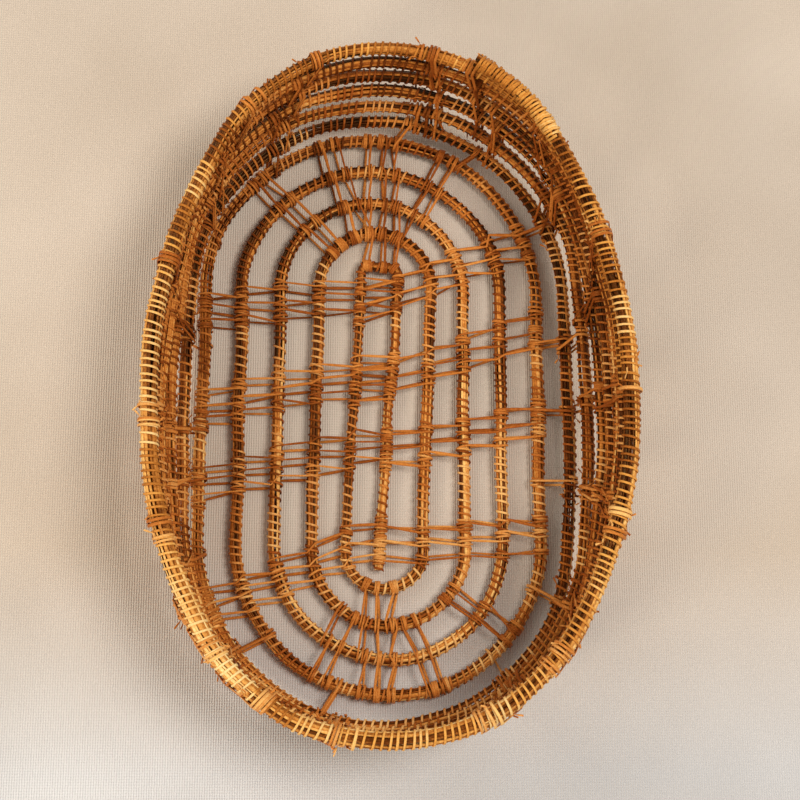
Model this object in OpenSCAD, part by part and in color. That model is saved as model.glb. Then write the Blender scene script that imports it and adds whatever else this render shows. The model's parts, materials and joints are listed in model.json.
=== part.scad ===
// Oval openwork basket, coiled from one continuous bundle of stems.
// The bundle starts as a short hairpin in the middle of the floor, winds outwards on the flat,
// then climbs the flaring wall and ends bound down on top of the rim. Split strips are wound round it,
// rows of paired strips stitch the floor coils together, and lashings tie the wall coils.
// The long way of the basket is along Y, and it stands on the strips under its floor at Z = 0.

/* [Coil plan] */
// Distance of the first strand from the long axis
start_half_gap = 4; // [3.5:0.1:5]
// Spacing of the floor coils across the basket
floor_pitch = 17.6; // [15:0.1:22]
// Half length of the hairpin that starts the coil
hairpin_half_length = 72; // [58:0.5:90]
// Half length of the coil's oval, carried back to the first strand
start_half_length = 68; // [55:0.5:85]
// Spacing of the floor coils at the two ends
end_pitch = 16.1; // [14:0.1:20]
// Lean of the first strand, which dies out over the next turns (degrees)
start_lean = 4; // [0:0.5:6]
// Corner radius of the square-cornered hairpin
hairpin_corner = 3; // [2.6:0.1:3.4]

/* [Wall] */
// Height of the coil centre at the rim above the floor coils
wall_rise = 56.5; // [48:0.5:80]
// How far the wall leans out at the sides
side_flare = 20.5; // [15:0.5:30]
// How quickly the sides steepen towards the rim (2 gently, 4 soon upright)
side_steepening = 3; // [2:0.1:4]
// How far the wall leans out at the ends
end_flare = 13; // [8:0.5:20]
// How quickly the ends steepen towards the rim
end_steepening = 2; // [1.5:0.1:4]
// How far the rim sits off the middle of the floor, towards the right side
rim_shift_across = 1.6; // [0:0.1:4]
// How far the rim sits off the middle of the floor, towards the head end
rim_shift_along = 10; // [0:0.1:12]
// Half angle that each side of the rim bows out (degrees)
rim_bow = 30; // [20:1:36]
// Sweep of the end curve that the rim bundle runs on before it stops (degrees)
rim_end_sweep = 34; // [20:1:60]

/* [Bundle of stems] */
// Radius of the bundle in the first turn
start_core_r = 2; // [1.6:0.05:2.3]
// Radius of the bundle in the floor turns
floor_core_r = 2.7; // [2.2:0.05:3.1]
// Radius of the bundle in the wall turns
wall_core_r = 2.7; // [2.2:0.05:3]
// Radius of the bundle in the rim
rim_core_r = 3.5; // [2.8:0.05:3.8]
// Radius from which an end curve is made of two lengths
splice_from = 24; // [15:1:60]
// Gap between two lengths of the bundle where they are butted
splice_gap = 0.1; // [0.05:0.05:0.4]

/* [Winding strips] */
// Thickness of a winding strip
wrap_t = 0.55; // [0.4:0.05:0.7]
// Width of a winding strip
wrap_w = 1.5; // [1:0.1:2]
// Crown on the faces of a winding strip
wrap_crown = 0.1; // [0.05:0.01:0.15]
// Spacing of the windings along the bundle
wrap_pitch = 6; // [4:0.1:9]
// Clearance between the bundle and its windings
wrap_fit = 0.05; // [0.03:0.01:0.1]

/* [Stitches and lashings] */
// Width of a stitching strip
stitch_w = 1.4; // [1:0.1:2]
// Thickness of a stitching strip
stitch_t = 0.7; // [0.5:0.05:0.9]
// Clearance between a stitching strip and the windings under it
stitch_fit = 0.05; // [0.03:0.01:0.2]
// Spacing of the strips in one row of floor stitches
stitch_pitch = 6.6; // [4:0.1:8]
// Spacing of the two strips in a row that fans out at an end
fan_pitch = 5; // [3:0.1:6]
// How far a row reaches past the middle of its first and last coil
row_reach = 3.6; // [3.4:0.1:4]
// Gap between two rows that end at the same strand
row_gap = 1; // [0.5:0.1:2]
// Spacing of the strips in one wall lashing
lashing_pitch = 2.6; // [2.2:0.1:4]
// Gap between a lashing strip and the next one up the wall
lashing_gap = 0.8; // [0.6:0.1:1.2]
// Clearance between a lashing and the windings under it
lashing_fit = 0.2; // [0.15:0.05:0.4]
// Thickness of the close binding over the end of the rim
binding_t = 0.6; // [0.4:0.05:0.9]
// Length of rim left bare at the very end of the binding
binding_inset = 2; // [1:0.5:4]

/* [Hidden] */
$fn = 48;
FLOOR_SIDES = 9;      // number of the last long side that lies flat, counted from the first strand as 0
WALL_SIDES = 13;      // long sides from there to the last one of the rim
FLOOR_TURNS = 4;
WALL_TURNS = 5;
LAST_TURN = FLOOR_TURNS + WALL_TURNS + 1;
STRANDS = 3;          // strips side by side in a crosswise row or in a lashing
FAN_STRANDS = 2;      // and in a row at an end
// Each row across the floor is [where it crosses the long axis, slope in degrees, last side that it reaches]
LEFT_ROWS = [[58.5, 7.5, 9], [21, 14, 9], [-13.5, 14.5, 9], [-56, 25, 7]];
RIGHT_ROWS = [[56, 24.5, 8], [16.5, 20, 8], [-17, 12.5, 8], [-60.5, 4.5, 8]];
// Each row at an end is [direction, half turn that it starts from]
HEAD_ROWS = [[90, 1], [111, 3], [65, 3], [139, 3]];
FOOT_ROWS = [[270, 1], [294, 3], [328, 3], [246, 3]];
// Each lashing is [half turn that it starts from, station along that half turn and those above it].
// It starts one coil up the wall where a row of stitches ends below it on the edge of the floor.
LASHINGS = [[10, 0.01], [10, 0.145], [10, 0.31], [8, 0.405], [8, 0.465], [8, 0.6], [8, 0.69], [8, 0.86],
            [11, 0.02], [11, 0.14], [9, 0.275], [7, 0.355], [7, 0.455], [7, 0.615], [7, 0.71], [7, 0.86]];
BUNDLE = "saddlebrown";
STRIP = "peru";

wound_r = floor_core_r + wrap_fit + wrap_t;   // outside of a wound floor coil
floor_z = stitch_t + stitch_fit + wound_r;    // height of the floor coils' centre line

// ---- The line that the bundle follows. Its long sides are numbered outwards from the first strand:
// even ones run towards +Y on the right, odd ones towards -Y on the left.

function wall_share(side) = max(0, side - FLOOR_SIDES) / WALL_SIDES;
function flare(side, steepening) = 1 - pow(1 - wall_share(side), steepening);
function flat_side(side) = min(side, FLOOR_SIDES);
function mean_half_width(side) =
    start_half_gap + flat_side(side) * floor_pitch / 2 + side_flare * flare(side, side_steepening);
function half_width(side) =
    mean_half_width(side) - way(side) * rim_shift_across * flare(side, side_steepening);
function half_length(side) =
    start_half_length + flat_side(side) * end_pitch / 2 + end_flare * flare(side, end_steepening);
function bow(side) = rim_bow * wall_share(side);
function lean(side) = start_lean * max(0, 1 - side / 4);
function height(side) = floor_z + wall_rise * wall_share(side);
function heading(side) = 90 + 180 * side - lean(side);

// Half length of a bowed side, so that it and the end curves reach the half length of the oval
function side_reach(side) =
    let (t = tan(bow(side) / 2), q = (1 - t) / (1 + t))
    (half_length(side) - mean_half_width(side) * q) / (1 - t * q);

// and how much further it reaches round the head end than the middle, or less round the foot end
function end_shift(n) = -way(n) * rim_shift_along * wall_share(n + 0.5);

// A stretch of the line is [start, heading, radius, sweep or length], with radius 0 for a straight one
function side_stretch(start, head, side, shift) =
    let (reach = side_reach(side) + shift)
    bow(side) == 0 ? [start, head, 0, reach] : [start, head, reach / sin(bow(side)), bow(side)];
function run(s, part = 1) =
    s[2] == 0 ? s[3] * part * [cos(s[1]), sin(s[1])]
              : s[2] * [sin(s[1] + s[3] * part) - sin(s[1]), cos(s[1]) - cos(s[1] + s[3] * part)];
function stretch_length(s) = s[2] == 0 ? s[3] : s[2] * s[3] * PI / 180;

// Half turn number n leaves the middle of side n and ends in the middle of side n + 1, in one tilted plane
function way(n) = n % 2 == 0 ? -1 : 1;
function level_width(n) = half_width(n) + half_width(n + 1);
function rise(n) = height(n + 1) - height(n);
function tilt(n) = atan2(rise(n), level_width(n));
function half_turn(n) =
    let (out = side_stretch([0, 0], heading(n), n, end_shift(n)),
         head_1 = heading(n) + bow(n),
         head_2 = heading(n + 1) - bow(n + 1),
         in_run = run(side_stretch([0, 0], head_2, n + 1, end_shift(n))),
         width = way(n) * level_width(n) / cos(tilt(n)),
         r = (width - run(out)[0] - in_run[0]) / (sin(head_2) - sin(head_1)),
         end = [run(out), head_1, r, head_2 - head_1])
    [out, end, side_stretch(run(out) + run(end), head_2, n + 1, end_shift(n))];

// The square-cornered hairpin that joins the first two strands
hairpin_reach = hairpin_half_length - hairpin_corner;
function hairpin() =
    let (out = [[0, 0], heading(0), 0, hairpin_reach],
         turn_1 = [run(out), heading(0), hairpin_corner, 90],
         p = run(out) + run(turn_1),
         in_run = run([[0, 0], heading(1), 0, hairpin_reach]),
         turn_2_run = run([[0, 0], heading(0) + 90, hairpin_corner, heading(1) - heading(0) - 90]),
         left = -level_width(0) - in_run[0] - p[0] - turn_2_run[0],
         bar = [p, heading(0) + 90, 0, left / cos(heading(0) + 90)],
         q = p + run(bar),
         turn_2 = [q, heading(0) + 90, hairpin_corner, heading(1) - heading(0) - 90])
    [out, turn_1, bar, turn_2, [q + turn_2_run, heading(1), 0, hairpin_reach]];

function stretches(n) = n == 0 ? hairpin() : half_turn(n);
function end_of(list) = let (s = list[len(list) - 1]) s[0] + run(s);
// Y of the middle of each side, added up from the first
MIDDLES = [for (n = 0, y = 0; n <= FLOOR_SIDES + WALL_SIDES; y = y + end_of(stretches(n))[1], n = n + 1) y];
// The origin is under the middle of the rim, which the end curves carry 2 towards the foot as they climb
FLOOR_AT = [-rim_shift_across, 2 - rim_shift_along, 0];
function middle(side) = FLOOR_AT + [-way(side) * half_width(side), MIDDLES[side], height(side)];

module in_plane(n) translate(middle(n)) rotate([0, -way(n) * tilt(n), 0]) children();

// Centre of the bundle in space, and which way it runs, at a station from 0 to 1 along half turn n:
// a quarter of the range is each side, and half is the end curve
function station_part(t) = t < 0.25 ? [0, t * 4] : t < 0.75 ? [1, t * 2 - 0.5] : [2, t * 4 - 3];
function lift(n, p) = [p[0] * cos(tilt(n)), p[1], way(n) * p[0] * sin(tilt(n))];
function coil_point(n, t) =
    let (k = station_part(t), s = half_turn(n)[k[0]]) middle(n) + lift(n, s[0] + run(s, k[1]));
function coil_way(n, t) =
    let (k = station_part(t), s = half_turn(n)[k[0]], a = s[1] + (s[2] == 0 ? 0 : s[3] * k[1]))
    lift(n, [cos(a), sin(a)]);

// ---- Solids that follow the line

// Carries its children, which look along +X, to a distance along a stretch
module at(s, distance) {
    if (s[2] == 0) translate([s[0][0], s[0][1], 0]) rotate([0, 0, s[1]]) translate([distance, 0, 0]) children();
    else about_centre(s) rotate([0, 0, distance / s[2] * 180 / PI]) translate([s[2], 0, 0]) rotate([0, 0, 90])
        children();
}

module about_centre(s)
    translate([s[0][0] - s[2] * sin(s[1]), s[0][1] + s[2] * cos(s[1]), 0]) rotate([0, 0, s[1] - 90]) children();

// Round rod along a stretch, less a trim at its start and its end, hollow when inner_r is over 0
module rod(s, r, inner_r = 0, from = 0, to = 0) {
    if (s[2] == 0)
        at(s, from) rotate([0, 90, 0]) cylinder(h = s[3] - from - to, r = r);
    else
        at_angle(s, from) rotate_extrude(angle = s[3] - (from + to) / s[2] * 180 / PI)
            translate([s[2], 0]) rod_section(r, inner_r);
}

module at_angle(s, from) about_centre(s) rotate([0, 0, from / s[2] * 180 / PI]) children();

module rod_section(r, inner_r) {
    difference() {
        circle(r = r);
        if (inner_r > 0) circle(r = inner_r);
    }
}

// One winding: a crowned strip closed round the bundle
module winding(core_r) {
    inner = core_r + wrap_fit;
    outer = inner + wrap_t;
    edge = wrap_w / 2;
    rotate([0, 90, 0]) rotate_extrude()
        polygon([[inner, 0], [inner + wrap_crown, -edge], [outer - wrap_crown, -edge],
                 [outer, 0], [outer - wrap_crown, edge], [inner + wrap_crown, edge]]);
}

// The square end of the hairpin is left bare
function is_wound(n, s) = n > 0 || s[3] == hairpin_reach;

// Windings spaced evenly along a stretch
module windings(s, core_r) {
    count = max(1, round(stretch_length(s) / wrap_pitch));
    step = stretch_length(s) / count;
    for (k = [0 : count - 1]) at(s, (k + 0.5) * step) winding(core_r);
}

// ---- Bundle and windings, turn by turn

function turn_core_r(turn) =
    turn == 0 ? start_core_r : turn <= FLOOR_TURNS ? floor_core_r : turn < LAST_TURN ? wall_core_r : rim_core_r;

// The bundle's first strand comes up from its cut end to the middle of side 0
FIRST = [-hairpin_half_length * [cos(heading(0)), sin(heading(0))], heading(0), 0, hairpin_half_length];
// and the last one runs on from the middle of the last side to its cut end
LAST_N = FLOOR_SIDES + WALL_SIDES;
LAST_SIDE = half_turn(LAST_N)[0];
LAST_END = let (s = half_turn(LAST_N)[1]) [s[0], s[1], s[2], rim_end_sweep];

// The stems lie end to end in lengths: one to each side, and two to each end curve
function lengths(s) =
    s[2] < splice_from || s[3] < 90 ? [s] :
        [[s[0], s[1], s[2], s[3] / 2], [s[0] + run(s, 0.5), s[1] + s[3] / 2, s[2], s[3] / 2]];

module core(turn) {
    r = turn_core_r(turn);
    color(BUNDLE) {
        for (n = [2 * turn, 2 * turn + 1]) in_plane(n)
            for (s = stretches(n), part = lengths(s)) rod(part, r, 0, splice_gap / 2, splice_gap / 2);
        if (turn == 0) in_plane(0) rod(FIRST, r, 0, 0, splice_gap / 2);
        if (turn == LAST_TURN) in_plane(LAST_N) {
            rod(LAST_SIDE, r, 0, splice_gap / 2, splice_gap / 2);
            rod(LAST_END, r, 0, splice_gap / 2, 0);
        }
    }
}

module winding_turn(turn) {
    r = turn_core_r(turn);
    color(STRIP) {
        for (n = [2 * turn, 2 * turn + 1]) in_plane(n)
            for (s = stretches(n)) if (is_wound(n, s)) windings(s, r);
        if (turn == 0) in_plane(0) windings(FIRST, r);
        if (turn == LAST_TURN) in_plane(LAST_N) windings(LAST_SIDE, r);
    }
}

// Close binding that ties down the end of the rim
module rim_end_binding() {
    inner = rim_core_r + wrap_fit;
    color(STRIP) in_plane(LAST_N)
        rod(LAST_END, inner + wrap_t + binding_t, inner, wrap_w, binding_inset);
}

// ---- Stitches and lashings

// A pair of stitching strips on the floor, one under the coils and one over them
module stitch_pair(from, to) {
    span = to - from;
    over_z = floor_z + wound_r + stitch_fit;
    color(STRIP) translate(FLOOR_AT + [from[0], from[1], 0]) rotate([0, 0, atan2(span[1], span[0])])
        for (z = [0, over_z]) translate([0, -stitch_w / 2, z]) cube([norm(span), stitch_w, stitch_t]);
}

// Distance along a sloping line, from the long axis at y, to the coil of a side
function meets(y, slope, side) =
    let (w = half_width(side), ends = half_length(side) - w,
         out = w / cos(slope), y_out = y + out * sin(slope),
         past = y - sign(y_out) * ends, b = past * sin(slope))
    abs(y_out) <= ends ? out : sqrt(b * b - past * past + w * w) - b;

// A row across the floor: the left ones start at the first strand (hand -1), and the right ones just beside it
module cross_row(row, hand)
    for (k = [0 : STRANDS - 1]) {
        slope = hand * row[1];
        y = row[0] + (k - (STRANDS - 1) / 2) * stitch_pitch / cos(slope);
        strand = half_width(0) + y * tan(start_lean) + row_reach;
        start = (hand > 0 ? strand + row_gap : -strand) / cos(slope);
        end = meets(y, slope, row[2]) + row_reach;
        way_out = [hand * cos(slope), sin(slope)];
        stitch_pair([0, y] + start * way_out, [0, y] + end * way_out);
    }

// Rows that fan out across the curved ends of the coils, as far as half turn number last
module end_row(row, last) {
    centre = [0, sign(sin(row[0])) * (half_length(row[1]) - half_width(row[1]))];
    start = half_width(row[1]) - row_reach;
    reach = half_length(last + 0.5) - abs(centre[1]) + row_reach;
    direction = [cos(row[0]), sin(row[0])];
    for (k = [0 : FAN_STRANDS - 1]) {
        beside = (k - (FAN_STRANDS - 1) / 2) * fan_pitch * [-direction[1], direction[0]];
        stitch_pair(centre + beside + start * direction, centre + beside + reach * direction);
    }
}

// Outside of the wound coil of half turn n, and how far out the middle of a lashing lies on it
function coil_r(n) = turn_core_r(floor(n / 2)) + wrap_fit + wrap_t;
function lashing_r(n) = coil_r(n) + lashing_fit + stitch_t / 2;

// The way from one coil to the next up the wall, and half the bend in it at coil n, where there is a bend
function step_up(n, t) = coil_point(n + 2, t) - coil_point(n, t);
function half_bend(n, t) =
    let (a = step_up(n - 2, t), b = step_up(n, t)) acos(min(1, a * b / (norm(a) * norm(b)))) / 2;

// How far a strip stops short of coil n: more on the inside (side 1) of the bend there
function tie_cut(n, t, side, bent) =
    lashing_gap / 2 + (bent && side > 0 ? (lashing_r(n) + stitch_t / 2) * tan(half_bend(n, t)) : 0);

// One strip of a lashing from coil to coil, on the outside (side -1) or the inside (side 1) of the wall
module tie(n, t, side, offset, first) {
    along = coil_way(n, t);
    out = cross(step_up(n, t), along) / norm(cross(step_up(n, t), along));
    p = coil_point(n, t) + side * lashing_r(n) * out;
    q = coil_point(n + 2, t) + side * lashing_r(n + 2) * out;
    u = (q - p) / norm(q - p);
    w = along - (along * u) * u;
    v = w / norm(w);
    o = cross(u, v);
    cut = tie_cut(n, t, side, n > first);
    length = norm(q - p) - cut - tie_cut(n + 2, t, side, n + 2 < LAST_N - 2);
    c = p + cut * u + offset * v;
    multmatrix([[u[0], v[0], o[0], c[0]], [u[1], v[1], o[1], c[1]], [u[2], v[2], o[2], c[2]], [0, 0, 0, 1]])
        translate([0, -stitch_w / 2, -stitch_t / 2]) cube([length, stitch_w, stitch_t]);
}

// Lashing up the wall at one station, as far as the rim
module lashing(first, t)
    color(STRIP) for (n = [first : 2 : LAST_N - 3], side = [-1, 1], k = [0 : STRANDS - 1])
        tie(n, t, side, (k - (STRANDS - 1) / 2) * lashing_pitch, first);

// ---- The pieces

core(0);  // core_start
for (k = [1 : FLOOR_TURNS]) core(k);
for (k = [1 : WALL_TURNS]) core(FLOOR_TURNS + k);
core(LAST_TURN);  // core_rim

winding_turn(0);  // winding_start
for (k = [1 : FLOOR_TURNS]) winding_turn(k);
for (k = [1 : WALL_TURNS]) winding_turn(FLOOR_TURNS + k);
winding_turn(LAST_TURN);  // winding_rim
rim_end_binding();

for (k = [1 : len(LEFT_ROWS)]) cross_row(LEFT_ROWS[k - 1], -1);
for (k = [1 : len(RIGHT_ROWS)]) cross_row(RIGHT_ROWS[k - 1], 1);
for (k = [1 : len(HEAD_ROWS)]) end_row(HEAD_ROWS[k - 1], FLOOR_SIDES - 1);
for (k = [1 : len(FOOT_ROWS)]) end_row(FOOT_ROWS[k - 1], FLOOR_SIDES - 2);

for (k = [1 : len(LASHINGS)]) lashing(LASHINGS[k - 1][0], LASHINGS[k - 1][1]);
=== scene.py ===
import json
import math
import random

import bpy
from mathutils import Matrix, Vector, noise

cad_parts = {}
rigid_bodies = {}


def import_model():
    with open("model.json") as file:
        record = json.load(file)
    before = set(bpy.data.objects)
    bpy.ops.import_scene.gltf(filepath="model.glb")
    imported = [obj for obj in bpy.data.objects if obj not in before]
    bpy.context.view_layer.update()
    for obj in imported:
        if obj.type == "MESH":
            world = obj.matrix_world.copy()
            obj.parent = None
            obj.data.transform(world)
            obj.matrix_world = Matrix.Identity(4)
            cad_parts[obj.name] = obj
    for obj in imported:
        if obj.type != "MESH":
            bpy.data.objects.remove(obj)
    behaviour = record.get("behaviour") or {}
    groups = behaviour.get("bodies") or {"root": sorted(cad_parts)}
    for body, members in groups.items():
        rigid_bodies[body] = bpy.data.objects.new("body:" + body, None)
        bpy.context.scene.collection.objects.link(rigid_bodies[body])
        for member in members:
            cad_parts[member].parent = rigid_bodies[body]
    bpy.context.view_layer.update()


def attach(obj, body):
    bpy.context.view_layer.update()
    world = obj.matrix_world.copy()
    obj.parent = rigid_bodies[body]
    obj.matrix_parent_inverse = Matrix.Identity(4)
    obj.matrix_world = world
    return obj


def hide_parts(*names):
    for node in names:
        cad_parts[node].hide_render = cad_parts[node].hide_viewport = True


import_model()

MM = 0.001
SEED = 11
UP = Vector((0, 0, 1))
chance = random.Random(SEED)
noise.seed_set(SEED)  # without it, noise_vector would take its offsets from the clock

# ---- Sizes in millimetres and degrees. Those of the coil's line, down to FLOOR_AT, are the CAD model's

START_HALF_GAP = 4.0
FLOOR_PITCH = 17.6
HAIRPIN_HALF_LENGTH = 72.0
HAIRPIN_CORNER = 3.0
START_HALF_LENGTH = 68.0
END_PITCH = 16.1
START_LEAN = 4.0
FLOOR_Z = 4.05
WALL_RISE = 56.5
SIDE_FLARE = 20.5
SIDE_STEEPENING = 3
END_FLARE = 13.0
END_STEEPENING = 2
RIM_SHIFT_ACROSS = 1.6
RIM_SHIFT_ALONG = 10.0
RIM_BOW = 30.0
RIM_END_SWEEP = 34.0
FLOOR_SIDES = 9
WALL_SIDES = 13
LAST_N = FLOOR_SIDES + WALL_SIDES
FLOOR_FORWARD = 2.0
FLOOR_AT = Vector((-RIM_SHIFT_ACROSS, FLOOR_FORWARD - RIM_SHIFT_ALONG, 0))
LINE_STEP = 1.5

# Radius of the bundle in the first turn, on the floor, up the wall and in the rim
START_R, FLOOR_R, WALL_R, RIM_R = 2.1, 2.7, 2.75, 3.65
# Side number at which the bundle starts to thicken into the rim, and over how many sides it does
RIM_FROM, RIM_GROWTH = 19.4, 1.2
# By what share the rim is slimmer at the head, from where along the basket, and over what length
HEAD_SLIMMER, SLIMMER_FROM_Y, SLIMMER_OVER = 0.17, 40, 80
# How far the coil may stray from its line, level and in height, and over what length it does
STRAY, STRAY_UP, STRAY_OVER = 1.1, 0.7, 34
# By what share the bundle's radius varies, how much more it does up the wall, and over what length
UNEVEN, UNEVEN_MORE, UNEVEN_OVER = 0.09, 0.05, 21

# Width and thickness of the strip in the windings, and of the strip in the stitches and lashings
STRIP_W, STRIP_T = 1.15, 0.55
STITCH_W, STITCH_T = 1.35, 0.6
# Share of its own breadth that a stitch keeps where it is pulled tight round a coil
TIGHT_BREADTH = 0.74
# Height above which the strips grow paler, and over how much more of it
PALER_FROM_Z, PALER_OVER = 50, 12

# Rows of stitches across the floor: where each crosses the long axis, and its slope in degrees
LEFT_ROWS = ((58.5, 7.5), (21, 14), (-13.5, 14.5), (-56, 25))
RIGHT_ROWS = ((56, 24.5), (16.5, 20), (-17, 12.5), (-60.5, 4.5))
# Rows at the two ends: direction in degrees, and the half turn they start from
HEAD_ROWS = ((90, 1), (111, 3), (65, 3), (139, 3))
FOOT_ROWS = ((270, 1), (294, 3), (328, 3), (246, 3))
# Side number up to which the rows of each group reach
LEFT_LAST, RIGHT_LAST, HEAD_LAST, FOOT_LAST = 9.5, 8.5, 9, 8
ROW_PITCH = 6.6
# How far short of the long axis a crosswise row starts, and how far it may reach from there
ROW_LEAD, ROW_REACH = 13, 130
# How far short of its first coil a row at an end starts, and its reach from the middle of the end curve
END_ROW_LEAD, END_ROW_REACH = 5, 120
# The most that the slope of a row adds to each half of a stitch's drift along the coil
MOST_DRIFT = 1.1
# Lashings up the wall: the half turn each starts from, and the station along the half turns. The CAD
# model's lashings stand at the same stations, but five of them start two half turns higher
LASHINGS = ((8, 0.01), (8, 0.145), (8, 0.31), (8, 0.405), (8, 0.465), (8, 0.6), (8, 0.69), (8, 0.86),
            (9, 0.02), (9, 0.14), (9, 0.275), (7, 0.355), (7, 0.455), (7, 0.615), (7, 0.71), (7, 0.86))


# ---- The line that the bundle follows. Its long sides are numbered outwards from the first strand,
# and half turn n leads from the middle of side n to the middle of side n + 1, in one tilted plane.

def wall_share(side):
    return max(0.0, side - FLOOR_SIDES) / WALL_SIDES


def flare(side, steepening):
    return 1 - (1 - wall_share(side)) ** steepening


def side_way(side):
    return -1 if side % 2 == 0 else 1


def mean_half_width(side):
    flat = START_HALF_GAP + min(side, FLOOR_SIDES) * FLOOR_PITCH / 2
    return flat + SIDE_FLARE * flare(side, SIDE_STEEPENING)


def half_width(side):
    return mean_half_width(side) - side_way(side) * RIM_SHIFT_ACROSS * flare(side, SIDE_STEEPENING)


def half_length(side):
    flat = START_HALF_LENGTH + min(side, FLOOR_SIDES) * END_PITCH / 2
    return flat + END_FLARE * flare(side, END_STEEPENING)


def bow(side):
    return math.radians(RIM_BOW) * wall_share(side)


def height(side):
    return FLOOR_Z + WALL_RISE * wall_share(side)


def heading(side):
    lean = START_LEAN * max(0.0, 1 - side / 4)
    return math.radians(90 + 180 * side - lean)


def side_reach(side):
    t = math.tan(bow(side) / 2)
    q = (1 - t) / (1 + t)
    return (half_length(side) - mean_half_width(side) * q) / (1 - t * q)


# A stretch of the line is (heading, radius, sweep or length), with radius 0 for a straight one

def side_stretch(head, side, shift):
    reach = side_reach(side) + shift
    if bow(side) == 0:
        return (head, 0.0, reach)
    return (head, reach / math.sin(bow(side)), bow(side))


def stretch_length(stretch):
    return stretch[2] * (stretch[1] or 1.0)


def run(stretch, part=1.0):
    head, radius, extent = stretch
    if radius == 0:
        return Vector((math.cos(head), math.sin(head))) * extent * part
    turned = head + extent * part
    return Vector((math.sin(turned) - math.sin(head), math.cos(head) - math.cos(turned))) * radius


def half_turn(n, wide, way, tilt):
    if n == 0:
        return hairpin(wide)
    head_1 = heading(n) + bow(n)
    head_2 = heading(n + 1) - bow(n + 1)
    shift = -way * RIM_SHIFT_ALONG * wall_share(n + 0.5)
    out, back = side_stretch(heading(n), n, shift), side_stretch(head_2, n + 1, shift)
    across = way * wide / math.cos(tilt) - run(out).x - run(back).x
    return [out, (head_1, across / (math.sin(head_2) - math.sin(head_1)), head_2 - head_1), back]


def hairpin(wide):
    """The square-cornered hairpin that joins the first two strands."""
    reach, square = HAIRPIN_HALF_LENGTH - HAIRPIN_CORNER, math.radians(90)
    out, back = (heading(0), 0.0, reach), (heading(1), 0.0, reach)
    corner_1 = (heading(0), HAIRPIN_CORNER, square)
    corner_2 = (heading(0) + square, HAIRPIN_CORNER, heading(1) - heading(0) - square)
    left = -wide - sum(run(s).x for s in (out, corner_1, corner_2, back))
    return [out, corner_1, (heading(0) + square, 0.0, left / math.cos(heading(0) + square)), corner_2, back]


def station(k, part, count):
    """Share of a half turn gone by: a quarter for each side and half for the end, or even shares."""
    if count == 3:
        return (part / 4, 0.25 + part / 2, 0.75 + part / 4)[k]
    return (k + part) / count


def coil_line():
    """Places along the whole bundle, each with its half turn and station as one side number."""
    points = []
    way_in = Vector((math.cos(heading(0)), math.sin(heading(0)), 0))
    steps = round(HAIRPIN_HALF_LENGTH / LINE_STEP)
    for i in range(steps):
        back = HAIRPIN_HALF_LENGTH * (1 - i / steps)
        points.append((FLOOR_AT + Vector((START_HALF_GAP, 0, FLOOR_Z)) - way_in * back,
                       -back / HAIRPIN_HALF_LENGTH))
    middle_y = 0.0
    for n in range(LAST_N + 1):
        way = side_way(n)
        wide = half_width(n) + half_width(n + 1)
        tilt = math.atan2(height(n + 1) - height(n), wide)
        stretches = half_turn(n, wide, way, tilt)
        count = len(stretches)
        if n == LAST_N:
            out, end, _ = stretches
            stretches = [out, (end[0], end[1], math.radians(RIM_END_SWEEP))]
        gone = Vector((0, 0))
        for k, stretch in enumerate(stretches):
            steps = max(2, round(stretch_length(stretch) / LINE_STEP))
            for i in range(steps):
                flat = gone + run(stretch, i / steps)
                place = Vector((-way * half_width(n) + flat.x * math.cos(tilt), middle_y + flat.y,
                                height(n) + way * flat.x * math.sin(tilt)))
                points.append((FLOOR_AT + place, n + station(k, i / steps, count)))
            gone += run(stretch)
        middle_y += gone.y
    return points


def smooth_step(t):
    t = min(1.0, max(0.0, t))
    return t * t * (3 - 2 * t)


def bundle_r(side):
    """Radius of the bundle, which grows as stems are added."""
    if side < 6:
        return START_R + (FLOOR_R - START_R) * smooth_step(side - 1)
    return WALL_R + (RIM_R - WALL_R) * smooth_step((side - RIM_FROM) / RIM_GROWTH)


class Coil:
    """The bundle's line made a little uneven by hand, with its radius and the way it runs at each point."""

    def __init__(self):
        line = coil_line()
        self.side = [side for _, side in line]
        self.place = [p + self.unevenness(p, side) for p, side in line]
        self.along = [0.0]
        for a, b in zip(self.place, self.place[1:]):
            self.along.append(self.along[-1] + (b - a).length)
        last = len(line) - 1
        self.way = [(self.place[min(i + 1, last)] - self.place[max(i - 1, 0)]).normalized()
                    for i in range(last + 1)]
        self.r = [bundle_r(side) * self.thickness(p, side) for p, side in line]

    def unevenness(self, p, side):
        wobble = noise.noise_vector(p / STRAY_OVER + Vector((0, 0, side * 0.7)))
        climb = smooth_step((side - FLOOR_SIDES) / 3)
        return Vector((wobble.x * STRAY, wobble.y * STRAY, wobble.z * STRAY_UP * climb))

    def thickness(self, p, side):
        towards_head = smooth_step((p.y - SLIMMER_FROM_Y) / SLIMMER_OVER)
        slimmer = HEAD_SLIMMER * towards_head * smooth_step(side - RIM_FROM)
        uneven = UNEVEN + UNEVEN_MORE * smooth_step(side - FLOOR_SIDES)
        return 1 - slimmer + uneven * noise.noise(p / UNEVEN_OVER + Vector((0, 0, 50)))

    def index(self, side):
        """Index of the first point at or after a side number with its station."""
        low, high = 0, len(self.side) - 1
        while low < high:
            mid = (low + high) // 2
            if self.side[mid] < side:
                low = mid + 1
            else:
                high = mid
        return low

    def crossings(self, origin, direction, first, last):
        """Where a level ray crosses the coil between two side numbers: (distance, index), nearest first."""
        found = []
        across = Vector((-direction.y, direction.x))
        for i in range(self.index(first), self.index(last)):
            a, b = self.place[i].xy - origin, self.place[i + 1].xy - origin
            if a.dot(across) * b.dot(across) <= 0 and a.dot(direction) > 0:
                found.append((a.dot(direction), i))
        return sorted(found)


coil = Coil()


# ---- Geometry Nodes trees

PROFILE_SIDES = 6


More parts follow.
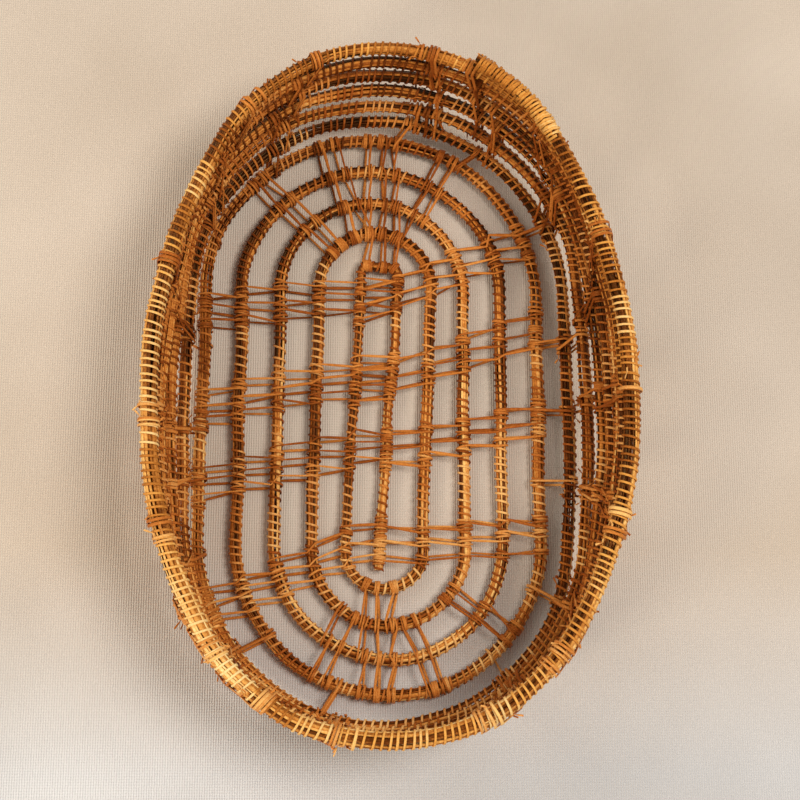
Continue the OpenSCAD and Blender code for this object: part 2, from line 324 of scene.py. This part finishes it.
class Tree:
    """A Geometry Nodes tree with named inputs, ending in Realize Instances and Set Material."""

    def __init__(self, name, inputs):
        self.tree = bpy.data.node_groups.new(name, "GeometryNodeTree")
        face = self.tree.interface
        face.new_socket("Path", in_out="INPUT", socket_type="NodeSocketGeometry")
        self.ids = {}
        for label, kind in (*inputs, ("Finish", "Material")):
            socket = face.new_socket(label, in_out="INPUT", socket_type="NodeSocket" + kind)
            self.ids[label] = socket.identifier
        face.new_socket("Geometry", in_out="OUTPUT", socket_type="NodeSocketGeometry")
        self.start = self.tree.nodes.new("NodeGroupInput")

    def node(self, kind, settings=None, **inputs):
        n = self.tree.nodes.new(kind)
        for key, value in (settings or {}).items():
            setattr(n, key, value)
        for key, value in inputs.items():
            self.feed(n.inputs[int(key[1:])] if key[1:].isdigit() else n.inputs[key.replace("_", " ")], value)
        return n

    def feed(self, socket, value):
        if isinstance(value, bpy.types.NodeSocket):
            self.tree.links.new(value, socket)
        elif isinstance(value, bpy.types.Node):
            self.tree.links.new(value.outputs[0], socket)
        else:
            socket.default_value = value

    def given(self, label):
        return self.start.outputs[label]

    def math(self, operation, a, b=0.0, c=0.0):
        return self.node("ShaderNodeMath", {"operation": operation}, i0=a, i1=b, i2=c).outputs[0]

    def vector(self, operation, a, b=(0, 0, 0), scale=1.0):
        n = self.node("ShaderNodeVectorMath", {"operation": operation}, i0=a)
        if operation == "SCALE":
            self.feed(n.inputs["Scale"], scale)
        else:
            self.feed(n.inputs[1], b)
        return n.outputs[0]

    def attribute(self, name, kind="FLOAT"):
        n = self.node("GeometryNodeInputNamedAttribute", {"data_type": kind})
        n.inputs["Name"].default_value = name
        return n.outputs["Attribute"]

    def store(self, geometry, name, value, kind="FLOAT"):
        settings = {"data_type": kind, "domain": "POINT"}
        n = self.node("GeometryNodeStoreNamedAttribute", settings, Geometry=geometry)
        n.inputs["Name"].default_value = name
        self.feed(n.inputs["Value"], value)
        return n.outputs[0]

    def noise(self, at, scale, w):
        """Smooth noise along a length, mostly from -1 to 1, for each w. Its scale is per metre."""
        point = self.node("ShaderNodeCombineXYZ", i0=at, i1=w).outputs[0]
        n = self.node("ShaderNodeTexNoise", {"noise_dimensions": "3D"}, Vector=point, Scale=scale, Detail=1.0)
        return self.math("MULTIPLY_ADD", n.outputs[0], 4.0, -2.0)

    def white_noise(self, number, seed):
        """A random number from 0 to 1 that goes with a whole number and a seed."""
        point = self.node("ShaderNodeCombineXYZ", i0=number, i1=seed).outputs[0]
        return self.node("ShaderNodeTexWhiteNoise", {"noise_dimensions": "2D"}, Vector=point).outputs[0]

    def stepped_path(self):
        """The given path as a curve, with its points a step apart."""
        curve = self.node("GeometryNodeMeshToCurve", Mesh=self.given("Path")).outputs[0]
        return self.node("GeometryNodeResampleCurve", {"mode": "LENGTH"}, Curve=curve,
                         Length=self.given("Step")).outputs[0]

    def profile(self, width, thickness):
        circle = self.node("GeometryNodeCurvePrimitiveCircle", {"mode": "RADIUS"},
                           Resolution=PROFILE_SIDES, Radius=0.5)
        size = self.node("ShaderNodeCombineXYZ", i0=thickness, i1=width, i2=1.0).outputs[0]
        return self.node("GeometryNodeTransform", Geometry=circle.outputs[0], Scale=size).outputs[0]

    def sweep(self, curve, normal, scale, profile):
        """Sweeps the profile along the curve, with its thin way along the normal."""
        turned = self.node("GeometryNodeSetCurveNormal", {"mode": "FREE"}, Curve=curve, Normal=normal)
        made = self.node("GeometryNodeCurveToMesh", Curve=turned, Profile_Curve=profile, Scale=scale,
                         Fill_Caps=True)
        smooth = self.node("GeometryNodeSetShadeSmooth", i0=made.outputs[0]).outputs[0]
        whole = self.node("GeometryNodeRealizeInstances", Geometry=smooth).outputs[0]
        done = self.node("GeometryNodeSetMaterial", Geometry=whole, Material=self.given("Finish")).outputs[0]
        end = self.tree.nodes.new("NodeGroupOutput")
        self.feed(end.inputs[0], done)

    def curve_frame(self):
        """The curve's level way across and its way up, at each point."""
        along = self.node("GeometryNodeInputTangent").outputs[0]
        across = self.vector("NORMALIZE", self.vector("CROSS_PRODUCT", along, tuple(UP)))
        up = self.vector("CROSS_PRODUCT", across, along)
        return across, up

    def round_the_path(self, across, up, angle):
        return self.vector("ADD", self.vector("SCALE", across, scale=self.math("COSINE", angle)),
                           self.vector("SCALE", up, scale=self.math("SINE", angle)))


def strip_tree():
    """A flat strip along each path that is given, facing the way that its points say."""
    t = Tree("Strip", [("Width", "Float"), ("Thickness", "Float")])
    curve = t.node("GeometryNodeMeshToCurve", Mesh=t.given("Path")).outputs[0]
    t.sweep(curve, t.attribute("out", "FLOAT_VECTOR"), t.attribute("breadth"),
            t.profile(t.given("Width"), t.given("Thickness")))
    return t


def winding_tree():
    """One strip wound round the bundle, closer in some places than in others."""
    t = Tree("Winding", [("Pitch", "Float"), ("Width", "Float"), ("Thickness", "Float"), ("Step", "Float"),
                         ("Bunching", "Float"), ("Strip Length", "Float"), ("Seed", "Float")])
    curve = t.stepped_path()
    at = t.attribute("along")
    across, up = t.curve_frame()
    turns = t.math("DIVIDE", at, t.given("Pitch"))
    uneven = t.math("MULTIPLY", t.noise(at, 70.0, t.given("Seed")), t.given("Bunching"))
    angle = t.math("MULTIPLY", t.math("ADD", turns, uneven), 2 * math.pi)
    radial = t.round_the_path(across, up, angle)
    flat = t.math("MULTIPLY", t.noise(at, 260.0, t.math("ADD", t.given("Seed"), 9.0)), 0.1 * MM)
    reach = t.math("ADD", t.attribute("reach"), t.math("MULTIPLY_ADD", t.given("Thickness"), 0.42, flat))
    captured = t.store(curve, "out", radial, "FLOAT_VECTOR")
    number = t.math("FLOOR", t.math("DIVIDE", at, t.given("Strip Length")))
    captured = t.store(captured, "tone", t.white_noise(number, t.given("Seed")))
    moved = t.node("GeometryNodeSetPosition", Geometry=captured,
                   Offset=t.vector("SCALE", radial, scale=reach)).outputs[0]
    breadth = t.math("MULTIPLY_ADD", t.noise(at, 330.0, t.math("ADD", t.given("Seed"), 4.0)), 0.22, 1.0)
    t.sweep(moved, t.attribute("out", "FLOAT_VECTOR"), breadth,
            t.profile(t.given("Width"), t.given("Thickness")))
    return t


def stem_tree():
    """Stems side by side round the path, each wandering a little and giving way to another."""
    t = Tree("Stems", [("Stems", "Int"), ("Stem Size", "Float"), ("Step", "Float"), ("Seed", "Float"),
                       ("Stem Length", "Float")])
    curve = t.stepped_path()
    copies = t.node("GeometryNodeDuplicateElements", {"domain": "SPLINE"}, Geometry=curve,
                    Amount=t.given("Stems"))
    curve = t.store(copies.outputs[0], "stem", copies.outputs[1])
    at, stem = t.attribute("along"), t.attribute("stem")
    own = t.math("MULTIPLY_ADD", stem, 7.31, t.given("Seed"))
    across, up = t.curve_frame()
    share = t.math("DIVIDE", stem, t.given("Stems"))
    wander = t.math("MULTIPLY", t.noise(at, 9.0, own), 0.3)
    turn = t.math("MULTIPLY", at, 5.0)
    angle = t.math("ADD", t.math("MULTIPLY_ADD", share, 2 * math.pi, wander), turn)
    radial = t.round_the_path(across, up, angle)
    # One stem length on, another stem with its own tone takes the place, each at a point of its own
    staggered = t.math("MULTIPLY_ADD", own, 0.0237, at)
    number = t.math("FLOOR", t.math("DIVIDE", staggered, t.given("Stem Length")))
    curve = t.store(curve, "tone", t.white_noise(number, own))
    thick = t.math("MULTIPLY_ADD", t.noise(at, 22.0, t.math("ADD", own, 3.0)), 0.2, t.given("Stem Size"))
    stem_r = t.math("MULTIPLY", t.attribute("reach"), thick)
    curve = t.store(curve, "stem_r", stem_r)
    sink = t.math("MULTIPLY", t.math("ABSOLUTE", t.noise(at, 30.0, t.math("ADD", own, 6.0))), 0.1)
    out = t.math("SUBTRACT", t.math("SUBTRACT", t.attribute("reach"), stem_r),
                 t.math("MULTIPLY", t.attribute("reach"), sink))
    moved = t.node("GeometryNodeSetPosition", Geometry=curve,
                   Offset=t.vector("SCALE", radial, scale=out)).outputs[0]
    t.sweep(moved, tuple(UP), t.math("MULTIPLY", t.attribute("stem_r"), 2.0), t.profile(1.0, 1.0))
    return t


def path_mesh(name, paths):
    """Paths as an edge mesh. Each path is a list of points, each (place in mm, {attribute: value})."""
    places, edges, values = [], [], {}
    for path in paths:
        first = len(places)
        for place, facts in path:
            places.append(place * MM)
            for key, value in facts.items():
                values.setdefault(key, []).append(value)
        edges += [(first + i, first + i + 1) for i in range(len(path) - 1)]
    mesh = bpy.data.meshes.new(name)
    mesh.from_pydata(places, edges, [])
    for key, column in values.items():
        if isinstance(column[0], Vector):
            layer = mesh.attributes.new(key, "FLOAT_VECTOR", "POINT")
            layer.data.foreach_set("vector", [c for v in column for c in v])
        else:
            layer = mesh.attributes.new(key, "FLOAT", "POINT")
            layer.data.foreach_set("value", column)
    return mesh


def grown(name, paths, tree, inputs):
    """Mesh piece grown from paths by a tree, as plain geometry at the origin."""
    guide = bpy.data.objects.new(name + "_path", path_mesh(name, paths))
    bpy.context.collection.objects.link(guide)
    modifier = guide.modifiers.new("grow", "NODES")
    modifier.node_group = tree.tree
    for label, value in inputs.items():
        modifier[tree.ids[label]] = value
    depsgraph = bpy.context.evaluated_depsgraph_get()
    mesh = bpy.data.meshes.new_from_object(guide.evaluated_get(depsgraph), preserve_all_data_layers=True,
                                           depsgraph=depsgraph)
    guide.modifiers.clear()
    bpy.data.objects.remove(guide)
    piece = bpy.data.objects.new(name, mesh)
    bpy.context.collection.objects.link(piece)
    return piece


def place_piece(piece, slot, *nodes):
    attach(piece, "root")
    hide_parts(*nodes)


# ---- Materials

def finish(name):
    material = bpy.data.materials.new(name)
    material.use_nodes = True
    return material, material.node_tree, material.node_tree.nodes["Principled BSDF"]


def ramp(tree, factor, stops):
    n = tree.nodes.new("ShaderNodeValToRGB")
    tree.links.new(factor, n.inputs[0])
    while len(n.color_ramp.elements) < len(stops):
        n.color_ramp.elements.new(0.5)
    for element, (at, colour) in zip(n.color_ramp.elements, stops):
        element.position = at
        element.color = (*colour, 1)
    return n.outputs[0]


# How much each pattern moves the fibre's shade along its colours, by how much the whole is darkened, and
# how much painted shade darkens it for each metre towards the head, while painted light lightens it towards
# the foot
TONE_SHARE, STREAK_SHARE, BLOTCH_SHARE = 0.68, 0.45, 0.5
DARKER, PAINTED_SHADE_PER_METRE = -0.32, 0.8


def plant_finish(name, stops, roughness, streak_scale, bump):
    """Plant fibre with a tone for each stem or strip, streaked and blotched, with painted shade that darkens
    it towards the head.
    """
    material, tree, shader = finish(name)
    new, link = tree.nodes.new, tree.links.new
    tone = new("ShaderNodeAttribute")
    tone.attribute_name = "tone"
    place = new("ShaderNodeTexCoord")
    streaks = new("ShaderNodeTexNoise")
    streaks.inputs["Scale"].default_value = streak_scale
    streaks.inputs["Detail"].default_value = 3
    blotches = new("ShaderNodeTexNoise")
    blotches.inputs["Scale"].default_value = 45
    blotches.inputs["Detail"].default_value = 2
    for n in (streaks, blotches):
        link(place.outputs["Object"], n.inputs["Vector"])

    def combine(operation, a, b, c=0.0):
        n = new("ShaderNodeMath")
        n.operation = operation
        for socket, value in zip(n.inputs, (a, b, c)):
            if isinstance(value, float):
                socket.default_value = value
            else:
                link(value, socket)
        return n.outputs[0]

    shade = combine("MULTIPLY", streaks.outputs["Fac"], STREAK_SHARE)
    shade = combine("MULTIPLY_ADD", tone.outputs["Fac"], TONE_SHARE, shade)
    shade = combine("ADD", shade, combine("MULTIPLY_ADD", blotches.outputs["Fac"], BLOTCH_SHARE, DARKER))
    ends = new("ShaderNodeSeparateXYZ")
    link(place.outputs["Object"], ends.inputs[0])
    # Painted shade and light: the fibre is darkened towards the head end and lightened towards the foot,
    # standing in for how light falls on the basket
    shade = combine("MULTIPLY_ADD", ends.outputs["Y"], -PAINTED_SHADE_PER_METRE, shade)
    link(ramp(tree, shade, stops), shader.inputs["Base Color"])
    rough = combine("MULTIPLY_ADD", streaks.outputs["Fac"], 0.3, roughness - 0.15)
    link(rough, shader.inputs["Roughness"])
    shader.inputs["Specular IOR Level"].default_value = 0.4
    shader.inputs["Specular Tint"].default_value = (1, 0.55, 0.2, 1)
    relief = new("ShaderNodeBump")
    relief.inputs["Strength"].default_value = bump
    relief.inputs["Distance"].default_value = 0.0002
    link(streaks.outputs["Fac"], relief.inputs["Height"])
    link(relief.outputs["Normal"], shader.inputs["Normal"])
    return material


STEM_STOPS = ((0.1, (0.01, 0.002, 0.0002)), (0.32, (0.09, 0.016, 0.0015)), (0.5, (0.33, 0.085, 0.011)),
              (0.7, (0.66, 0.25, 0.045)), (0.95, (0.95, 0.6, 0.2)))
RIM_STEM_STOPS = ((0.12, (0.012, 0.0025, 0.0003)), (0.36, (0.15, 0.036, 0.004)), (0.56, (0.54, 0.2, 0.034)),
                  (0.78, (0.86, 0.46, 0.12)), (1.0, (0.98, 0.74, 0.33)))
STRIP_STOPS = ((0.1, (0.11, 0.02, 0.0018)), (0.35, (0.34, 0.08, 0.011)), (0.6, (0.61, 0.205, 0.036)),
               (0.95, (0.93, 0.56, 0.2)))
RIM_STRIP_STOPS = ((0.1, (0.26, 0.068, 0.008)), (0.38, (0.58, 0.22, 0.036)), (0.65, (0.82, 0.41, 0.09)),
                   (1.0, (0.98, 0.76, 0.36)))
LACING_STOPS = ((0.1, (0.12, 0.024, 0.0025)), (0.35, (0.36, 0.09, 0.013)), (0.6, (0.63, 0.225, 0.042)),
                (0.95, (0.94, 0.58, 0.2)))

dark_stems = plant_finish("dark stems", STEM_STOPS, 0.36, 900, 0.5)
rim_stems = plant_finish("rim stems", RIM_STEM_STOPS, 0.32, 900, 0.5)
tan_strips = plant_finish("tan strips", STRIP_STOPS, 0.5, 1300, 0.4)
golden_strips = plant_finish("golden strips", RIM_STRIP_STOPS, 0.45, 1300, 0.4)
lacing_strips = plant_finish("lacing strips", LACING_STOPS, 0.45, 1300, 0.4)


# Width of a thread across and along the cloth in metres, and the scale at which a wave is a metre wide
THREADS = (("X", 0.0011), ("Y", 0.0012))
METRE_WAVE = 0.314
# Where along the basket the cloth stops being warm in colour, and where it has become cool: the cool tint is
# painted light, standing in for sunlight on the cloth towards the foot
WARM_TO_Y, COOL_FROM_Y = -0.07, -0.17


def cloth():
    """Plain weave, warm at the head of the basket, with painted light making it cooler and paler towards its
    foot.
    """
    material, tree, shader = finish("pale cloth")
    new, link = tree.nodes.new, tree.links.new
    place = new("ShaderNodeTexCoord")
    heights = []
    for direction, pitch in THREADS:
        threads = new("ShaderNodeTexWave")
        threads.bands_direction = direction
        threads.inputs["Scale"].default_value = METRE_WAVE / pitch
        threads.inputs["Distortion"].default_value = 1.2
        threads.inputs["Detail Scale"].default_value = 1.5
        link(place.outputs["Object"], threads.inputs["Vector"])
        heights.append(threads.outputs["Fac"])
    weave = new("ShaderNodeMath")
    weave.operation = "MULTIPLY_ADD"
    weave.inputs[1].default_value = 0.5
    link(heights[1], weave.inputs[0])
    link(heights[0], weave.inputs[2])
    soft = new("ShaderNodeTexNoise")
    soft.inputs["Scale"].default_value = 9
    link(place.outputs["Object"], soft.inputs["Vector"])
    shade = new("ShaderNodeMath")
    shade.operation = "MULTIPLY_ADD"
    shade.inputs[1].default_value = 0.16
    link(weave.outputs[0], shade.inputs[0])
    link(soft.outputs["Fac"], shade.inputs[2])
    warm = ramp(tree, shade.outputs[0], ((0.3, (0.555, 0.475, 0.39)), (0.8, (0.685, 0.605, 0.52))))
    # Painted light: this cool, pale ramp is mixed in towards the foot and stands in for sunlight falling on
    # the cloth there
    painted_sunlit_cool = ramp(tree, shade.outputs[0], ((0.3, (0.53, 0.535, 0.55)), (0.8, (0.65, 0.665, 0.69))))
    ends = new("ShaderNodeSeparateXYZ")
    link(place.outputs["Object"], ends.inputs[0])
    painted_sunlight_share = new("ShaderNodeMapRange")
    painted_sunlight_share.inputs["From Min"].default_value = WARM_TO_Y
    painted_sunlight_share.inputs["From Max"].default_value = COOL_FROM_Y
    link(ends.outputs["Y"], painted_sunlight_share.inputs["Value"])
    mixed = new("ShaderNodeMix")
    mixed.data_type = "RGBA"
    link(painted_sunlight_share.outputs["Result"], mixed.inputs[0])
    link(warm, mixed.inputs[6])
    link(painted_sunlit_cool, mixed.inputs[7])
    link(mixed.outputs[2], shader.inputs["Base Color"])
    shader.inputs["Roughness"].default_value = 0.9
    shader.inputs["Specular IOR Level"].default_value = 0.2
    relief = new("ShaderNodeBump")
    relief.inputs["Strength"].default_value = 0.6
    relief.inputs["Distance"].default_value = 0.0004
    link(weave.outputs[0], relief.inputs["Height"])
    link(relief.outputs["Normal"], shader.inputs["Normal"])
    return material


# ---- The bundle and its windings, one piece for each turn

STEMS = stem_tree()
WINDING = winding_tree()
STRIP = strip_tree()
STITCH_STRIP = {"Width": STITCH_W * MM, "Thickness": STITCH_T * MM, "Finish": lacing_strips}


def coil_path(first, last):
    """The bundle's line from one side number to another, with what the trees read at each point."""
    start, stop = coil.index(first), min(coil.index(last), len(coil.place) - 1)
    return [(coil.place[i], {"along": coil.along[i] * MM, "reach": coil.r[i] * MM})
            for i in range(start, stop + 1)]


TURNS = [("start", -1, 2)] + [("floor_%d" % k, 2 * k, 2 * k + 2) for k in range(1, 5)]
TURNS += [("wall_%d" % k, 8 + 2 * k, 10 + 2 * k) for k in range(1, 6)] + [("rim", 20, LAST_N + 1)]


def bundle(name, first, last):
    """One turn of the bundle and its winding. The rim has more stems, closer winding and paler fibre."""
    rim = name == "rim"
    path = [coil_path(first, last)]
    stems = grown("stems_" + name, path, STEMS, {
        "Stems": 12 if rim else 10, "Stem Size": 0.22 if rim else 0.25, "Step": 2.2 * MM, "Seed": 3.0,
        "Stem Length": 0.21, "Finish": rim_stems if rim else dark_stems})
    place_piece(stems, "stem_bundle", "core_" + name)
    wound = grown("wound_strip_" + name, path, WINDING, {
        "Pitch": (3.2 if rim else 3.7) * MM, "Width": STRIP_W * MM, "Thickness": STRIP_T * MM,
        "Step": 0.28 * MM, "Bunching": 0.6 if rim else 0.5, "Strip Length": 0.019, "Seed": 5.0,
        "Finish": golden_strips if rim else tan_strips})
    place_piece(wound, "rim_strip" if rim else "winding_strip", "winding_" + name)


for turn in TURNS:
    bundle(*turn)


# ---- Strips laced from coil to coil across the floor

# In degrees round a coil, for the strip of a pair that passes over it: where it comes on, what it sweeps
# over the top, and by how much its first and last ends run on under the coil. The other strip mirrors it
# below. The last figure is about how far apart the points of either are
COME_ON, OVER_TOP, TUCK_FIRST, TUCK_LAST, LAP_STEP = 120, 60, 200, 230, 26


def lap(i, travel, start, sweep, shift, advance, lift):
    """Points round the coil: at an angle of 0 the strip is on the side it travels to, and at 90 on top."""
    way = coil.way[i] if coil.way[i].dot(UP.cross(travel)) > 0 else -coil.way[i]
    ahead = (travel - way * travel.dot(way)).normalized()
    up = ahead.cross(way)
    up = up if up.z > 0 else -up
    reach = coil.r[i] + STRIP_T + STITCH_T / 2 + lift
    steps = max(2, round(abs(sweep) / LAP_STEP))
    points = []
    for k in range(steps + 1):
        angle = math.radians(start + sweep * k / steps)
        out = ahead * math.cos(angle) + up * math.sin(angle)
        points.append((coil.place[i] + way * (shift + advance * k / steps) + out * reach, out))
    return points


def dressed(points, broadest=1.15):
    """Strip path with what the strip tree reads: a tone, paler near the rim, and a breadth that varies."""
    tone, phase, broad = chance.uniform(0.15, 0.75), chance.random() * 9, broadest - chance.uniform(0, 0.3)
    path = []
    for k, (place, out) in enumerate(points):
        paler = min(1, max(0, (place.z - PALER_FROM_Z) / PALER_OVER))
        path.append((place, {"out": out, "tone": tone + 0.3 * paler,
                             "breadth": broad * (1 + 0.16 * math.sin(phase + k * 0.35))}))
    return path


def strand(hits, travel, over, offset, drift):
    """One strip of a pair. It laps most coils, drifting along them, so it runs straighter across gaps."""
    hand = 1 if over else -1
    points, tight = [], []
    for k, i in enumerate(hits):
        laps = chance.choice((0, 1, 1, 1, 2))
        start, sweep = COME_ON * hand, -hand * (OVER_TOP + 360 * laps)
        if k == 0:
            start, sweep = start + TUCK_FIRST * hand, sweep - TUCK_FIRST * hand
        if k == len(hits) - 1:
            sweep -= TUCK_LAST * hand
        apart, spread = hand * chance.uniform(0.8, 1.3), 0.1 + 0.6 * laps + drift
        come = offset - apart - spread
        leave = offset - apart * chance.choice((-1, 1, 1, 1)) + spread
        here = lap(i, travel, start, sweep, come, leave - come, chance.uniform(-0.1, 0.15))
        if points:
            gap = here[0][0] - points[-1][0]
            points += [(points[-1][0] + gap * part, UP * hand) for part in (0.3, 0.7)]
        tight += range(len(points), len(points) + len(here))
        points += here
    path = dressed(points)
    for k in tight:
        path[k][1]["breadth"] *= TIGHT_BREADTH
    return path


def laced_row(name, origins, direction, near, far, last, drift):
    travel = Vector((*direction, 0))
    paths = []
    for origin in origins:
        hits = [i for distance, i in coil.crossings(origin, direction, -1, last) if near <= distance <= far]
        offset = chance.uniform(-0.5, 0.5)
        paths += [strand(hits, travel, over, offset, drift) for over in (True, False)]
    row = grown("laced_row_" + name, paths, STRIP, STITCH_STRIP)
    place_piece(row, "stitch_strip", "stitch_row_" + name)


def cross_row(name, y, slope, hand, last):
    turned = math.radians(hand * slope)
    direction = Vector((hand * math.cos(turned), math.sin(turned)))
    origins = [FLOOR_AT.xy + Vector((0, y + k * ROW_PITCH / math.cos(turned))) - direction * ROW_LEAD
               for k in (-1, 0, 1)]
    drift = min(MOST_DRIFT, FLOOR_PITCH / 4 * math.tan(math.radians(slope)))
    laced_row(name, origins, direction, 0, ROW_REACH, last, drift)


def end_row(name, angle, first, last):
    direction = Vector((math.cos(math.radians(angle)), math.sin(math.radians(angle))))
    ends = half_length(first) - half_width(first)
    centre = FLOOR_AT.xy + Vector((0, math.copysign(ends, direction.y)))
    beside = Vector((-direction.y, direction.x))
    origins = [centre + beside * k * ROW_PITCH for k in ((-1, 0, 1) if first == 1 else (-0.5, 0.5))]
    laced_row(name, origins, direction, half_width(first) - END_ROW_LEAD, END_ROW_REACH, last, 0)


for k in range(4):
    cross_row("left_%d" % (k + 1), *LEFT_ROWS[k], -1, LEFT_LAST)
    cross_row("right_%d" % (k + 1), *RIGHT_ROWS[k], 1, RIGHT_LAST)
    end_row("head_%d" % (k + 1), *HEAD_ROWS[k], HEAD_LAST)
    end_row("foot_%d" % (k + 1), *FOOT_ROWS[k], FOOT_LAST)


# ---- Lashings up the wall, and the close binding over the end of the rim

# Points that a lashing has on each coil, and how far it moves along them in one loop round both
LOOP_POINTS, LOOP_ADVANCE = 8, 1.9
# Half the spread of one lashing's strips along the half turn, and half that of its loose ends in points
LASHING_SPREAD, LOOSE_SPREAD = 0.016, 6
LOOSE_ENDS = 3
# Side number past which nothing is lashed, because the bundle ends soon after
LASHED_UP_TO = LAST_N + 0.3


def loops(i, j, turns, lift):
    """Points of a strip wound round two coils, one above the other."""
    low, high, way = coil.place[i], coil.place[j], coil.way[i]
    up = high - low
    up = (up - way * up.dot(way)).normalized()
    out = up.cross(way)
    points = []
    for k in range(turns * 2 * LOOP_POINTS):
        lap_part, on_high = (k % LOOP_POINTS) / (LOOP_POINTS - 1), (k // LOOP_POINTS) % 2
        angle = math.radians((270 if on_high else 90) + 180 * lap_part)
        normal = up * math.cos(angle) + out * math.sin(angle)
        gone = (k / (2 * LOOP_POINTS) - turns / 2) * LOOP_ADVANCE
        at = coil.place[j if on_high else i] + way * gone
        points.append((at + normal * (coil.r[j if on_high else i] + STRIP_T + STITCH_T / 2 + lift), normal))
    return points


def loose_end(i):
    """A short end of strip that sticks out from the coil."""
    way, length = coil.way[i] * chance.choice((-1, 1)), chance.uniform(2, 5)
    angle = chance.uniform(0, 2 * math.pi)
    across = way.cross(UP).normalized()
    out = across * math.cos(angle) + UP * abs(math.sin(angle))
    bend = (out + way * chance.uniform(0.2, 1.2)).normalized()
    start = coil.place[i] + out * (coil.r[i] + STRIP_T)
    side = bend.cross(out).normalized()
    return dressed([(start - way * 2, out), (start, out), (start + bend * length / 2, side),
                    (start + bend * length - UP * 0.3, side)], 0.75)


def lashing(number, first, at):
    """Strips that tie each coil of the wall to the one above, with loose ends, up to where the rim ends."""
    paths = []
    for step, n in enumerate(range(first, LAST_N, 2)):
        if n + 2 + at > LASHED_UP_TO:
            break
        for _ in range(1 if step == 0 else chance.choice((2, 2, 3))):
            spread = chance.uniform(-LASHING_SPREAD, LASHING_SPREAD)
            i, j = coil.index(n + at + spread), coil.index(n + 2 + at + spread)
            paths.append(dressed(loops(i, j, chance.choice((1, 2, 2)), chance.uniform(0, 0.4))))
        paths += [loose_end(coil.index(n + 2 + at) + chance.randint(-LOOSE_SPREAD, LOOSE_SPREAD))
                  for _ in range(LOOSE_ENDS)]
    strips = grown("lashing_strips_%d" % number, paths, STRIP, STITCH_STRIP)
    place_piece(strips, "stitch_strip", "lashing_%d" % number)


for number, (first, at) in enumerate(LASHINGS, 1):
    lashing(number, first, at)

BOUND_FROM, BINDING_CLEAR = LAST_N + 0.24, 0.5
bound = [(place, {"along": facts["along"], "reach": facts["reach"] + BINDING_CLEAR * MM})
         for place, facts in coil_path(BOUND_FROM, LAST_N + 1)[:-1]]
binding = grown("rim_end_wraps", [bound], WINDING, {
    "Pitch": 1.75 * MM, "Width": STITCH_W * MM, "Thickness": STITCH_T * MM, "Step": 0.4 * MM,
    "Bunching": 0.35, "Strip Length": 0.03, "Seed": 8.0, "Finish": golden_strips})
place_piece(binding, "rim_strip", "rim_end_binding")

# ---- Floor, light and camera

bpy.ops.mesh.primitive_plane_add(size=3, location=(0, 0, -0.0002))
ground = bpy.context.object
ground.name = "cloth_floor"
ground.data.materials.append(cloth())


def lamp(name, place, aim, size, power, colour):
    light = bpy.data.lights.new(name, "AREA")
    light.shape = "DISK"
    light.size = size
    light.energy = power
    light.color = colour
    holder = bpy.data.objects.new(name, light)
    holder.location = place
    holder.rotation_euler = (Vector(aim) - Vector(place)).to_track_quat("-Z", "Y").to_euler()
    bpy.context.collection.objects.link(holder)


lamp("window", (0.65, 0.05, 1.3), (0, 0, 0.02), 0.6, 12.5, (1, 0.93, 0.86))
lamp("far window", (-0.7, 0.45, 0.7), (0.05, -0.05, 0.03), 0.5, 2.8, (1, 0.92, 0.84))
lamp("low sun", (-0.85, -0.75, 0.55), (0, 0, 0.03), 0.3, 6, (1, 0.84, 0.62))

beam = bpy.data.lights.new("sunbeam", "SPOT")
beam.energy = 24
beam.color = (1, 0.95, 0.89)
beam.spot_size = math.radians(18)
beam.spot_blend = 0.45
beam.shadow_soft_size = 0.02
sunbeam = bpy.data.objects.new("sunbeam", beam)
sunbeam.location = (-0.75, -1.0, 0.55)
sunbeam.rotation_euler = (Vector((-0.24, -0.39, 0)) - sunbeam.location).to_track_quat("-Z", "Y").to_euler()
bpy.context.collection.objects.link(sunbeam)

world = bpy.data.worlds.new("room")
bpy.context.scene.world = world
world.use_nodes = True
world.node_tree.nodes["Background"].inputs["Color"].default_value = (1, 0.92, 0.82, 1)
world.node_tree.nodes["Background"].inputs["Strength"].default_value = 0.45

# The camera looks almost straight down, from in front of the basket's middle and a little to the left
eye = FLOOR_AT * MM + Vector((-0.0378, -0.1242, 0.6218))
look_at = FLOOR_AT * MM + Vector((0.00951, 0.00836, 0))
camera = bpy.data.cameras.new("camera")
camera.sensor_width = 36
camera.lens = 60.75
camera.clip_start = 0.01
viewer = bpy.data.objects.new("camera", camera)
back = (eye - look_at).normalized()
right = Vector((0, 1, 0)).cross(back).normalized()
viewer.rotation_euler = Matrix((right, back.cross(right), back)).transposed().to_euler()
viewer.location = eye
bpy.context.collection.objects.link(viewer)
bpy.context.scene.camera = viewer
bpy.context.scene.view_settings.view_transform = "Standard"
